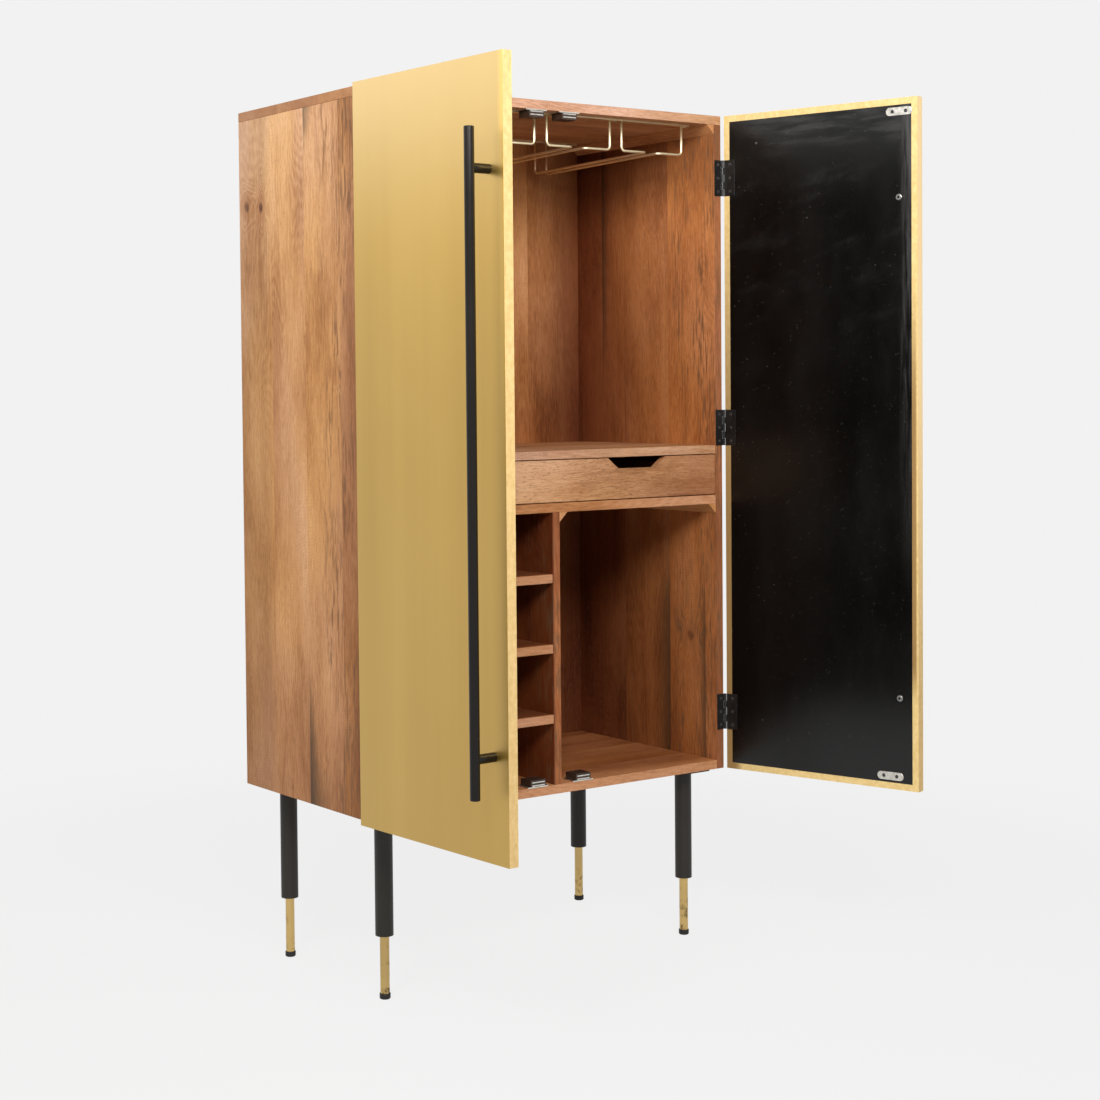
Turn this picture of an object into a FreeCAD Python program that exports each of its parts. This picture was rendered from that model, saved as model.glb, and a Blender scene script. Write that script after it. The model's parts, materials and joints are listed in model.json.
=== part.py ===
import FreeCAD, Part
import math
import os
import re
import Sketcher

# Bar armoire: a wooden case on four legs, with two brass-faced doors, a drawer, bottle shelves and a stem rack.
# Millimetres. The origin is on the floor under the middle of the case; +Z is up and the doors face -Y.
# The doors stand open as photographed. A door's own pieces are drawn round its hinge axis, then swung.

os.makedirs("parts", exist_ok=True)
V = FreeCAD.Vector
doc = FreeCAD.newDocument("bar_armoire")
sheet = doc.addObject("Spreadsheet::Sheet", "Sizes")

sizes = [
    ("case_width", "806", "case, side to side"),
    ("case_depth", "432", "case, front to back without doors"),
    ("case_height", "1250", "case, underside to top"),
    ("stand_height", "325", "floor to the case's underside"),
    ("board", "17", "thickness of the outer boards, deck and divider"),
    ("shelf_board", "16", "thickness of the counter shelf and bottle shelves"),
    ("back_board", "12", "thickness of the back panel"),
    ("counter_level", "623", "case underside to the counter's top face"),
    ("drawer_room", "79", "clear height of the drawer's opening"),
    ("cleat_leg", "18", "short side of a triangular cleat"),
    ("half_width", "=case_width / 2", "middle to a side's outer face"),
    ("front", "=-case_depth / 2", "front edges of the case"),
    ("inner_half", "=half_width - board", "middle to a side's inner face"),
    ("back_face", "=case_depth / 2 - back_board", "inner face of the back panel"),
    ("floor_top", "=stand_height + board", "upper face of the bottom panel"),
    ("ceiling", "=stand_height + case_height - board", "lower face of the top panel"),
    ("counter_top", "=stand_height + counter_level", "upper face of the counter"),
    ("counter_under", "=counter_top - shelf_board", "lower face of the counter"),
    ("deck_top", "=counter_under - drawer_room", "face the drawer slides on"),
    ("deck_under", "=deck_top - board", "lower face of the deck"),
    ("bottle_cell", "=(deck_under - floor_top - 3 * shelf_board) / 4", "clear height of a bottle cell"),
    ("drawer_play", "1.5", "gap round the drawer front"),
    ("drawer_behind", "35", "back panel to the closed drawer"),
    ("drawer_front_board", "16", "thickness of the drawer front"),
    ("drawer_board", "12", "thickness of the drawer's sides and back"),
    ("drawer_base", "6", "thickness of the drawer's bottom"),
    ("drawer_wall", "54", "height of the drawer's sides and back"),
    ("drawer_half", "=inner_half - drawer_play", "middle to the drawer's outer face"),
    ("drawer_start", "=front + drawer_front_board", "where the drawer's sides begin"),
    ("drawer_end", "=back_face - drawer_behind", "back of the drawer"),
    ("notch_place", "=drawer_half / 2", "middle to a finger notch's middle"),
    ("notch_mouth", "139", "finger notch, width at the top"),
    ("notch_base", "89", "finger notch, width at the bottom"),
    ("notch_deep", "20", "finger notch, depth"),
    ("wire_radius", "2.5", "stem rack wire"),
    ("wire_bend", "8", "bend of a wire's centre line"),
    ("wire_drop", "57", "top panel to a wire's centre line"),
    ("wire_fall", "8", "how much lower a wire lies at the back"),
    ("rack_side", "50", "case side's inner face to the outermost hangers"),
    ("rack_end", "37", "case front or back panel to the hangers"),
    ("bay_gap", "28", "one bay's hanger to the next bay's"),
    ("bay_wide", "=(2 * inner_half - 2 * rack_side - 3 * bay_gap) / 4", "hanger to hanger in one bay"),
    ("slot_wide", "28.5", "the stems' slot between two wires"),
    ("rack_fore", "=front + rack_end", "front hangers"),
    ("rack_aft", "=back_face - rack_end", "rear hangers"),
    ("strip_wide", "14", "width of a rack strip"),
    ("strip_sheet", "3", "thickness of a rack strip"),
    ("leg_across", "59", "case side to a leg's axis"),
    ("leg_deep", "52", "case front or back to a leg's axis"),
    ("plate_wide", "80", "side of a leg's square plate"),
    ("plate_sheet", "5", "thickness of a leg's plate"),
    ("plate_corner", "8", "cut corner of a leg's plate"),
    ("tube_radius", "16", "black part of a leg"),
    ("tube_long", "213", "length of a leg's black part"),
    ("rod_radius", "8.2", "brass part of a leg"),
    ("rod_bite", "20", "length of the brass part inside the black part"),
    ("rod_play", "0.4", "room round it there"),
    ("glide_radius", "9.7", "levelling foot"),
    ("glide_tall", "10", "height of the foot below the rod"),
    ("glide_edge", "1.5", "bevel of the foot"),
    ("stem_radius", "4.2", "stem of the foot inside the rod"),
    ("stem_long", "28", "length of that stem"),
    ("stem_play", "0.05", "running fit round that stem"),
    ("leg_half", "=half_width - leg_across", "middle to a leg's axis, sideways"),
    ("leg_reach", "=case_depth / 2 - leg_deep", "middle to a leg's axis, front to back"),
    ("rod_end", "=stand_height - glide_tall", "case underside to a rod's lower end"),
    ("front_gap", "4", "case front to a closed door's inner face"),
    ("meeting_gap", "3", "gap between the closed doors"),
    ("axis_out", "2.5", "case side to the hinge axis"),
    ("door_board", "18", "thickness of a door"),
    ("skin_sheet", "1", "thickness of a door's brass sheet"),
    ("skin_lip", "12", "width of brass folded on a door's inner face"),
    ("left_open", "87.5 deg", "left door as photographed"),
    ("right_open", "106.2 deg", "right door as photographed"),
    ("axis_across", "=half_width + axis_out", "middle to a hinge axis"),
    ("axis_forward", "=front - front_gap / 2", "hinge axis, front to back"),
    ("door_near", "=axis_out", "hinge axis to a door's hinge edge"),
    ("door_far", "=axis_across - meeting_gap / 2", "hinge axis to a door's free edge"),
    ("door_inside", "=front_gap / 2", "hinge axis to a door's inner face"),
    ("door_outside", "=door_inside + door_board", "hinge axis to a door's outer face"),
    ("hinge_tall", "68", "height of a hinge"),
    ("hinge_low", "110", "case underside to the low hinges' middle"),
    ("hinge_rise", "31.5", "case middle to the middle hinges' middle"),
    ("hinge_fall", "118", "case top to the top hinges' middle"),
    ("case_leaf_wide", "19", "hinge axis to a case leaf's edge"),
    ("door_leaf_wide", "26", "hinge axis to a door leaf's edge"),
    ("leaf_sheet", "1.6", "thickness of a leaf"),
    ("barrel_radius", "2.7", "hinge knuckles"),
    ("pin_radius", "1.3", "hinge pin"),
    ("pin_play", "0.05", "running fit round the pin"),
    ("knuckle_gap", "0.3", "gap between two knuckles"),
    ("knuckle_pitch", "=(hinge_tall + knuckle_gap) / 5", "one knuckle to the next"),
    ("notch_in", "=barrel_radius + 0.5", "hinge axis to a leaf's cut-back edge"),
    ("bar_radius", "8.1", "handle bar"),
    ("bar_margin", "109.5", "door's upper or lower edge to the handle bar"),
    ("bar_long", "=case_height - 2 * bar_margin", "length of the handle bar"),
    ("bar_bevel", "0.8", "bevel of the bar's ends"),
    ("bar_off", "37.5", "door face to the bar's axis"),
    ("post_radius", "7.8", "handle post"),
    ("post_inset", "63", "end of the bar to a post"),
    ("post_pitch", "=bar_long - 2 * post_inset", "one handle post to the other"),
    ("post_in", "36", "door's free edge to the handle"),
    ("handle_low", "5", "door's middle down to the handle's middle"),
    ("screw_radius", "2.5", "handle screw"),
    ("screw_play", "0.4", "room round a handle screw"),
    ("screw_bite", "15", "length of a handle screw in its post"),
    ("washer_radius", "7", "handle screw's washer"),
    ("washer_sheet", "1.2", "thickness of that washer"),
    ("head_radius", "4.6", "handle screw's head"),
    ("head_tall", "2.6", "height of that head"),
    ("handle_place", "=door_far - post_in", "hinge axis to the handle"),
    ("catch_top", "37", "middle to the catches under the top"),
    ("catch_low_left", "46", "middle to the left catch on the bottom"),
    ("catch_low_right", "57", "middle to the right catch on the bottom"),
    ("catch_wide", "34", "catch body, side to side"),
    ("catch_deep", "30", "catch body, front to back"),
    ("catch_tall", "14", "catch with its bracket, height"),
    ("ear_wide", "46", "catch bracket, side to side"),
    ("ear_sheet", "2", "thickness of a catch bracket"),
    ("pole_wide", "28", "pole plate, side to side"),
    ("pole_deep", "14", "pole plate inside the body"),
    ("pole_out", "1", "pole plate in front of the body"),
    ("pole_sheet", "2", "thickness of a pole plate"),
    ("strike_long", "52", "strike plate, side to side"),
    ("strike_wide", "15", "strike plate, height"),
    ("strike_sheet", "1.5", "thickness of a strike plate"),
    ("strike_gap", "0.4", "pole plates to a strike, door closed"),
    ("catch_face", "=front - front_gap + strike_sheet + strike_gap + pole_out", "front of a catch body"),
]
for row, (alias, value, words) in enumerate(sizes, start=1):
    sheet.set(f"A{row}", words)
    sheet.set(f"B{row}", value)
    sheet.setAlias(f"B{row}", alias)
doc.recompute()

aliases = {alias for alias, value, words in sizes}
nodes = []


def bind(thing, path, text):
    """Drive one property by a formula written in the sheet's words."""
    formula = re.sub(r"[a-z_]+", lambda w: "Sizes." + w[0] if w[0] in aliases else w[0], text)
    thing.setExpression(path, formula)


def place(thing, across, deep, up):
    """Put a thing where three formulas say."""
    for axis, text in zip("xyz", (across, deep, up)):
        bind(thing, f"Placement.Base.{axis}", text)


def node(thing, label):
    """Mark a finished piece for export under its own name."""
    thing.Label = label
    nodes.append(thing)
    return thing


def block(name, low, high):
    """A rectangular block between two corners."""
    box = doc.addObject("Part::Box", name)
    place(box, *low)
    for side, start, end in zip(("Length", "Width", "Height"), low, high):
        bind(box, side, f"({end}) - ({start})")
    return box


def board(label, low, high):
    """A plain board, which is a piece by itself."""
    return node(block(label, low, high), label)


def sketch_on(body, name, plane, offset="0"):
    """A sketch on one of the body's own planes, moved along the plane's normal."""
    sketch = body.newObject("Sketcher::SketchObject", name)
    support = [item for item in body.Origin.OriginFeatures if item.Role == plane][0]
    sketch.AttachmentSupport = [(support, "")]
    sketch.MapMode = "FlatFace"
    bind(sketch, "AttachmentOffset.Base.z", offset)
    return sketch


def hold(sketch, kind, where, text):
    """A dimension from the origin or of a curve; a point at nought lies on the axis instead."""
    if text == "0":
        axis = -2 if kind == "DistanceX" else -1
        sketch.addConstraint(Sketcher.Constraint("PointOnObject", *where, axis))
        return
    start = () if kind == "Radius" else (-1, 1)
    index = sketch.addConstraint(Sketcher.Constraint(kind, *start, *where, 1.0))
    name = f"{kind}_{index}"
    sketch.renameConstraint(index, name)
    bind(sketch, f"Constraints.{name}", text)


def outline(sketch, corners):
    """A closed outline of straight lines, with each corner held at two formulas."""
    first = sketch.GeometryCount
    count = len(corners)
    for k in range(count):
        sketch.addGeometry(Part.LineSegment(V(k + 1, k * k + 1, 0), V(k + 2, (k + 1) ** 2 + 1, 0)))
    for k, (across, up) in enumerate(corners):
        sketch.addConstraint(Sketcher.Constraint("Coincident", first + k, 2, first + (k + 1) % count, 1))
        hold(sketch, "DistanceX", (first + k, 1), across)
        hold(sketch, "DistanceY", (first + k, 1), up)


def rectangle(sketch, left, low, right, high):
    """A rectangle between two corners."""
    outline(sketch, [(left, low), (right, low), (right, high), (left, high)])


def circle(sketch, across, up, radius):
    """A circle round a point."""
    index = sketch.addGeometry(Part.Circle(V(1, 2, 0), V(0, 0, 1), 1.0))
    hold(sketch, "DistanceX", (index, 3), across)
    hold(sketch, "DistanceY", (index, 3), up)
    hold(sketch, "Radius", (index,), radius)


def feature(body, kind, sketch, length=None, back=False):
    """A pad, pocket or revolution of a sketch; back turns a pad or pocket the other way."""
    item = body.newObject(f"PartDesign::{kind}", f"{sketch.Name}_{kind}")
    item.Profile = sketch
    if kind == "Revolution":
        item.ReferenceAxis = (sketch, ["V_Axis"])
        item.Angle = 360
    else:
        bind(item, "Length", length)
        item.Reversed = back
    return item


def copies(name, *pairs):
    """Several pieces as one group, each moved to its own spot."""
    links = []
    for k, (source, spot) in enumerate(pairs):
        link = doc.addObject("App::Link", f"{name}_{k}")
        link.LinkedObject = source
        place(link, *spot)
        links.append(link)
    group = doc.addObject("Part::Compound", name)
    group.Links = links
    return group


def set_down(label, source, spot, mirrored=False):
    """A piece at its spot in the case, or its mirror image left to right."""
    kind = "Part::Mirroring" if mirrored else "Part::Compound"
    item = doc.addObject(kind, label)
    if mirrored:
        item.Source = source
        item.Normal = V(1, 0, 0)
    else:
        item.Links = [source]
    place(item, *spot)
    return node(item, label)


def hang(label, side, source, swung=True):
    """A piece drawn round the left hinge axis, put on its own axis and swung open with its door."""
    across = "-axis_across" if side == "left" else "axis_across"
    item = set_down(label, source, (across, "axis_forward", "stand_height"), side == "right")
    if swung:
        bind(item, "Placement.Rotation.Angle", "-left_open" if side == "left" else "right_open")
    return item


# Case: the top lies over both sides, and the bottom, back and shelves stand between them.
board("left_side", ("-half_width", "front", "stand_height"), ("-inner_half", "case_depth / 2", "ceiling"))
board("right_side", ("inner_half", "front", "stand_height"), ("half_width", "case_depth / 2", "ceiling"))
board("top_panel", ("-half_width", "front", "ceiling"), ("half_width", "case_depth / 2", "ceiling + board"))
board("bottom_panel", ("-inner_half", "front", "stand_height"), ("inner_half", "back_face", "floor_top"))
board("back_panel", ("-inner_half", "back_face", "stand_height"), ("inner_half", "case_depth / 2", "ceiling"))
board("counter_shelf", ("-inner_half", "front", "counter_under"), ("inner_half", "back_face", "counter_top"))
board("drawer_deck", ("-inner_half", "front", "deck_under"), ("inner_half", "back_face", "deck_top"))
board("divider", ("-board / 2", "front", "floor_top"), ("board / 2", "back_face", "deck_under"))
for k, level in enumerate(("low", "middle", "high"), start=1):
    under = f"floor_top + {k} * bottle_cell + {k - 1} * shelf_board"
    low = ("-inner_half", "front", under)
    board(f"bottle_shelf_{level}", low, ("-board / 2", "back_face", f"{under} + shelf_board"))

# Triangular cleats glued in the corners below the top and below the deck.
cleat = doc.addObject("PartDesign::Body", "cleat")
triangle = sketch_on(cleat, "cleat_end", "XZ_Plane")
outline(triangle, [("0", "0"), ("cleat_leg", "0"), ("0", "-cleat_leg")])
feature(cleat, "Pad", triangle, "back_face - front", back=True)
set_down("top_cleat_left", cleat, ("-inner_half", "front", "ceiling"))
set_down("top_cleat_right", cleat, ("inner_half", "front", "ceiling"), mirrored=True)
set_down("deck_cleat_divider", cleat, ("board / 2", "front", "deck_under"))
set_down("deck_cleat_right", cleat, ("inner_half", "front", "deck_under"), mirrored=True)

# Drawer: its front has two finger notches cut from the upper edge, and its bottom slides on the deck.
drawer_front = doc.addObject("PartDesign::Body", "drawer_front")
face = sketch_on(drawer_front, "drawer_face", "XZ_Plane", "-drawer_front_board")
low, high = "drawer_play", "drawer_room - drawer_play"
edge = [("drawer_half", high), ("drawer_half", low), ("-drawer_half", low), ("-drawer_half", high)]
for middle in ("-notch_place", "notch_place"):
    edge.append((f"{middle} - notch_mouth / 2", high))
    edge.append((f"{middle} - notch_base / 2", f"{high} - notch_deep"))
    edge.append((f"{middle} + notch_base / 2", f"{high} - notch_deep"))
    edge.append((f"{middle} + notch_mouth / 2", high))
outline(face, edge)
feature(drawer_front, "Pad", face, "drawer_front_board")
place(drawer_front, "0", "front", "deck_top")
node(drawer_front, "drawer_front")
rim = "deck_top + drawer_base + drawer_wall"
base = "deck_top + drawer_base"
inside = "drawer_half - drawer_board"
board("drawer_bottom", ("-drawer_half", "drawer_start", "deck_top"), ("drawer_half", "drawer_end", base))
board("drawer_left_side", ("-drawer_half", "drawer_start", base), (f"-({inside})", "drawer_end", rim))
board("drawer_right_side", (inside, "drawer_start", base), ("drawer_half", "drawer_end", rim))
board("drawer_back", (f"-({inside})", "drawer_end - drawer_board", base), (inside, "drawer_end", rim))


# Stem rack: bent wires hang from two strips, and each pair leaves a slot for the stems of the glasses.
def bent_rod(corners, bend, radius):
    """A rod along straight runs, drawn with twelve flats to stay light; each bend is a short slanted run."""
    points = [corners[0]]
    for before, corner, after in zip(corners, corners[1:], corners[2:]):
        back = (before - corner).normalize()
        ahead = (after - corner).normalize()
        turn = math.pi - back.getAngle(ahead)
        cut = bend * (math.tan(turn / 2) - math.tan(turn / 4))
        points += [corner + back * cut, corner + ahead * cut]
    path = Part.makePolygon(points + [corners[-1]])
    turns = [math.radians(30 * k) for k in range(13)]
    ring = Part.makePolygon([corners[0] + V(math.cos(a), math.sin(a), 0) * radius for a in turns])
    return path.makePipeShell([ring], True, False, 1)


strip_half = "(inner_half - rack_side + strip_wide)"
for label, deep in (("rack_strip_front", "rack_fore"), ("rack_strip_rear", "rack_aft")):
    low = (f"-{strip_half}", f"{deep} - strip_wide / 2", "ceiling - strip_sheet")
    board(label, low, (strip_half, f"{deep} + strip_wide / 2", "ceiling"))
fore, aft = sheet.rack_fore, sheet.rack_aft
upper = sheet.ceiling - sheet.strip_sheet
level = sheet.ceiling - sheet.wire_drop
for bay in range(4):
    middle = (bay - 1.5) * (sheet.bay_wide + sheet.bay_gap)
    pair = []
    for hand in (-1, 1):
        outer = middle + hand * sheet.bay_wide / 2
        inner = middle + hand * sheet.slot_wide / 2
        path = [V(outer, fore, upper), V(outer, fore, level), V(inner, fore, level)]
        path += [V(inner, aft, level - sheet.wire_fall), V(inner, aft, upper)]
        pair.append(bent_rod(path, sheet.wire_bend, sheet.wire_radius))
    wires = doc.addObject("Part::Feature", f"rack_wires_{bay + 1}")
    wires.Shape = Part.makeCompound(pair)
    node(wires, f"rack_wires_{bay + 1}")

# Legs: a plate welded to a tube, a brass rod let into the tube's end, and a foot that turns on its own stem.
leg = doc.addObject("PartDesign::Body", "leg")
plate = sketch_on(leg, "leg_plate", "XY_Plane")
wide, cut = "plate_wide / 2", "(plate_wide / 2 - plate_corner)"
corners = [(wide, f"-{cut}"), (wide, cut), (cut, wide), (f"-{cut}", wide)]
corners += [(f"-{wide}", cut), (f"-{wide}", f"-{cut}"), (f"-{cut}", f"-{wide}"), (cut, f"-{wide}")]
outline(plate, corners)
feature(leg, "Pad", plate, "plate_sheet", back=True)
tube = sketch_on(leg, "leg_tube", "XY_Plane")
circle(tube, "0", "0", "tube_radius")
feature(leg, "Pad", tube, "tube_long", back=True)
socket = sketch_on(leg, "leg_socket", "XY_Plane", "-tube_long")
circle(socket, "0", "0", "rod_radius + rod_play")
feature(leg, "Pocket", socket, "rod_bite", back=True)

rod = doc.addObject("PartDesign::Body", "rod")
profile = sketch_on(rod, "rod_profile", "XZ_Plane")
bore, bottom = "stem_radius + stem_play", "-rod_end"
corners = [("0", "rod_bite - tube_long"), ("rod_radius", "rod_bite - tube_long"), ("rod_radius", bottom)]
corners += [(bore, bottom), (bore, f"{bottom} + stem_long + 2"), ("0", f"{bottom} + stem_long + 2")]
outline(profile, corners)
feature(rod, "Revolution", profile)

glide = doc.addObject("PartDesign::Body", "glide")
profile = sketch_on(glide, "glide_profile", "XZ_Plane")
corners = [("0", "-stand_height"), ("glide_radius - glide_edge", "-stand_height")]
corners += [("glide_radius", "-stand_height + glide_edge"), ("glide_radius", bottom), ("stem_radius", bottom)]
corners += [("stem_radius", f"{bottom} + stem_long"), ("0", f"{bottom} + stem_long")]
outline(profile, corners)
feature(glide, "Revolution", profile)

for deep, fore in (("front", "-leg_reach"), ("rear", "leg_reach")):
    for side, across in (("left", "-leg_half"), ("right", "leg_half")):
        spot = (across, fore, "stand_height")
        set_down(f"{deep}_{side}_leg", leg, spot)
        set_down(f"{deep}_{side}_rod", rod, spot)
        set_down(f"{deep}_{side}_glide", glide, spot)

# Hinges: five knuckles interleave on one pin, three on the case leaf, which carries the pin, and two on the door leaf.
# A knuckle is drawn with twelve flats to stay light; the pin and its bores are round.
half = "hinge_tall / 2"
turns = [f"{15 + 30 * k} deg" for k in range(12)]
barrel_flats = [(f"barrel_radius * cos({turn})", f"barrel_radius * sin({turn})") for turn in turns]


def leaf(name, wide, mine, offset):
    """A hinge leaf with its own knuckles, cut back beside the other leaf's knuckles."""
    body = doc.addObject("PartDesign::Body", name)
    sheet_face = sketch_on(body, f"{name}_face", "XZ_Plane", offset)
    corners = [(wide, half), (wide, f"-{half}")]
    for k in range(5):
        edge = "0" if k in mine else "notch_in"
        ends = (f"-{half} + {k} * knuckle_pitch", f"-{half} + {k + 1} * knuckle_pitch")
        if k in mine:
            ends = (ends[0], f"{ends[1]} - knuckle_gap")
        else:
            ends = (f"{ends[0]} - (knuckle_gap * {min(k, 1)})", ends[1] if k < 4 else half)
        corners += [(edge, ends[0]), (edge, ends[1])]
    outline(sheet_face, corners)
    feature(body, "Pad", sheet_face, "leaf_sheet")
    for k in mine:
        barrel = sketch_on(body, f"{name}_barrel_{k}", "XY_Plane", f"-{half} + {k} * knuckle_pitch")
        outline(barrel, barrel_flats)
        feature(body, "Pad", barrel, "knuckle_pitch - knuckle_gap")
    return body


case_leaf = leaf("case_leaf", "case_leaf_wide", (0, 2, 4), "-front_gap / 2")
door_leaf = leaf("door_leaf", "door_leaf_wide", (1, 3), "front_gap / 2 - leaf_sheet")
pin = sketch_on(case_leaf, "hinge_pin", "XY_Plane", f"-{half}")
circle(pin, "0", "0", "pin_radius")
feature(case_leaf, "Pad", pin, "hinge_tall")
bore = sketch_on(door_leaf, "hinge_bore", "XY_Plane", f"-{half}")
circle(bore, "0", "0", "pin_radius + pin_play")
feature(door_leaf, "Pocket", bore, "hinge_tall", back=True)
levels = ("hinge_low", "case_height / 2 + hinge_rise", "case_height - hinge_fall")
heights = [("0", "0", up) for up in levels]
case_leaves = copies("case_leaves", *[(case_leaf, spot) for spot in heights])
door_leaves = copies("door_leaves", *[(door_leaf, spot) for spot in heights])

# Door: a core board in a brass sheet, which is folded over all four edges and returned as a lip on the inner face.
core = doc.addObject("PartDesign::Body", "door_core")
slab = sketch_on(core, "core_slab", "XZ_Plane", "door_inside + skin_sheet")
near, far = "door_near + skin_sheet", "door_far - skin_sheet"
rectangle(slab, near, "skin_sheet", far, "case_height - skin_sheet")
feature(core, "Pad", slab, "door_board - 2 * skin_sheet")
panel = sketch_on(core, "core_panel", "XZ_Plane", "door_inside")
near, far = "door_near + skin_lip", "door_far - skin_lip"
rectangle(panel, near, "skin_lip", far, "case_height - skin_lip")
feature(core, "Pad", panel, "skin_sheet")

skin = doc.addObject("PartDesign::Body", "door_skin")
whole = sketch_on(skin, "skin_whole", "XZ_Plane", "door_inside")
rectangle(whole, "door_near", "0", "door_far", "case_height")
feature(skin, "Pad", whole, "door_board")
window = sketch_on(skin, "skin_window", "XZ_Plane", "door_inside")
rectangle(window, near, "skin_lip", far, "case_height - skin_lip")
feature(skin, "Pocket", window, "skin_sheet", back=True)
hollow = sketch_on(skin, "skin_hollow", "XZ_Plane", "door_inside + skin_sheet")
near, far = "door_near + skin_sheet", "door_far - skin_sheet"
rectangle(hollow, near, "skin_sheet", far, "case_height - skin_sheet")
feature(skin, "Pocket", hollow, "door_board - 2 * skin_sheet", back=True)

# Handle: a bar welded to two posts, each held by a screw and a washer through the door.
bar_level = "case_height / 2 - handle_low"
post_levels = (f"{bar_level} - post_pitch / 2", f"{bar_level} + post_pitch / 2")
for body in (core, skin):
    holes = sketch_on(body, f"{body.Name}_holes", "XZ_Plane", "door_inside")
    for up in post_levels:
        circle(holes, "handle_place", up, "screw_radius + screw_play")
    feature(body, "Pocket", holes, "door_board", back=True)

handle = doc.addObject("PartDesign::Body", "handle")
profile = sketch_on(handle, "bar_profile", "XZ_Plane")
end = "bar_long / 2"
corners = [("0", f"-{end}"), ("bar_radius - bar_bevel", f"-{end}"), ("bar_radius", f"-{end} + bar_bevel")]
corners += [("bar_radius", f"{end} - bar_bevel"), ("bar_radius - bar_bevel", end), ("0", end)]
outline(profile, corners)
feature(handle, "Revolution", profile)
for name, kind, radius, length in (
    ("posts", "Pad", "post_radius", "bar_off"),
    ("post_bores", "Pocket", "screw_radius + screw_play", "screw_bite + 3"),
):
    ends = sketch_on(handle, name, "XZ_Plane", "-bar_off")
    for up in ("-post_pitch / 2", "post_pitch / 2"):
        circle(ends, "0", up, radius)
    feature(handle, kind, ends, length, back=kind == "Pocket")
place(handle, "handle_place", "-door_outside - bar_off", bar_level)

screw = doc.addObject("PartDesign::Body", "handle_screw")
for name, radius, start, length in (
    ("screw_washer", "washer_radius", "0", "washer_sheet"),
    ("screw_head", "head_radius", "-washer_sheet", "head_tall"),
):
    end = sketch_on(screw, name, "XZ_Plane", start)
    circle(end, "0", "0", radius)
    feature(screw, "Pad", end, length, back=True)
end = sketch_on(screw, "screw_shank", "XZ_Plane", "-washer_sheet")
circle(end, "0", "0", "screw_radius")
feature(screw, "Pad", end, "washer_sheet + door_board + screw_bite")
screws = copies("handle_screws", *[(screw, ("handle_place", "-door_inside", up)) for up in post_levels])

# Catches: a body on a bracket with ears, two pole plates let into its front, and a strike on the door that meets them.
poles = []
for k, up in enumerate(("-0.3 * catch_tall", "-0.7 * catch_tall")):
    low = ("-pole_wide / 2", "-pole_out", f"{up} - pole_sheet / 2")
    poles.append(block(f"pole_{k}", low, ("pole_wide / 2", "pole_deep", f"{up} + pole_sheet / 2")))
slots = doc.addObject("Part::Compound", "pole_slots")
slots.Links = poles
spots = {
    "top_left": ("-catch_top", "catch_face", "ceiling"),
    "top_right": ("catch_top", "catch_face", "ceiling"),
    "bottom_left": ("-catch_low_left", "catch_face", "floor_top + catch_tall"),
    "bottom_right": ("catch_low_right", "catch_face", "floor_top + catch_tall"),
}
plated = []
for end, under, over, bracket in (
    ("top", "-catch_tall", "-ear_sheet", "-ear_sheet"),
    ("bottom", "ear_sheet - catch_tall", "0", "-catch_tall"),
):
    shell = block(f"{end}_shell", ("-catch_wide / 2", "0", under), ("catch_wide / 2", "catch_deep", over))
    high = ("ear_wide / 2", "catch_deep", f"{bracket} + ear_sheet")
    ears = block(f"{end}_bracket", ("-ear_wide / 2", "0", bracket), high)
    plates = doc.addObject("Part::Compound", f"{end}_plates")
    plates.Links = poles + [ears]
    catch = doc.addObject("Part::Cut", f"{end}_catch")
    catch.Base = shell
    catch.Tool = slots
    for side in ("left", "right"):
        spot = spots[f"{end}_{side}"]
        set_down(f"{end}_{side}_catch", catch, spot)
        plated.append((plates, spot))
node(copies("catch_poles", *plated), "catch_poles")

strike = doc.addObject("PartDesign::Body", "strike")
straight, round_end = "(strike_long - strike_wide) / 2", "strike_wide / 2"
middle = sketch_on(strike, "strike_middle", "XZ_Plane")
rectangle(middle, f"-{straight}", f"-{round_end}", straight, round_end)
ends = sketch_on(strike, "strike_ends", "XZ_Plane")
for across in (f"-{straight}", straight):
    circle(ends, across, "0", round_end)
for face in (middle, ends):
    feature(strike, "Pad", face, "strike_sheet", back=True)

for side in ("left", "right"):
    hang(f"{side}_case_leaves", side, case_leaves, swung=False)
    hang(f"{side}_door_leaves", side, door_leaves)
    hang(f"{side}_door_core", side, core)
    hang(f"{side}_door_skin", side, skin)
    hang(f"{side}_handle", side, handle)
    hang(f"{side}_handle_screws", side, screws)
    high = ("axis_across - catch_top", "-door_inside", "case_height - board - catch_tall / 2")
    low = (f"axis_across - catch_low_{side}", "-door_inside", "board + catch_tall / 2")
    hang(f"{side}_strikes", side, copies(f"{side}_strike_pair", (strike, high), (strike, low)))

doc.recompute()
for item in nodes:
    faults = {"Invalid", "Error"} & set(item.State)
    if faults or item.Shape.isNull() or not item.Shape.isValid() or not item.Shape.Solids:
        raise RuntimeError(f"{item.Label} did not build")
    item.Shape.exportStep(f"parts/{item.Label}.step")
print(len(nodes), "pieces written")
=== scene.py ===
import json
import math

import bpy
import numpy as np
from mathutils import Matrix, Vector


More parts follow.
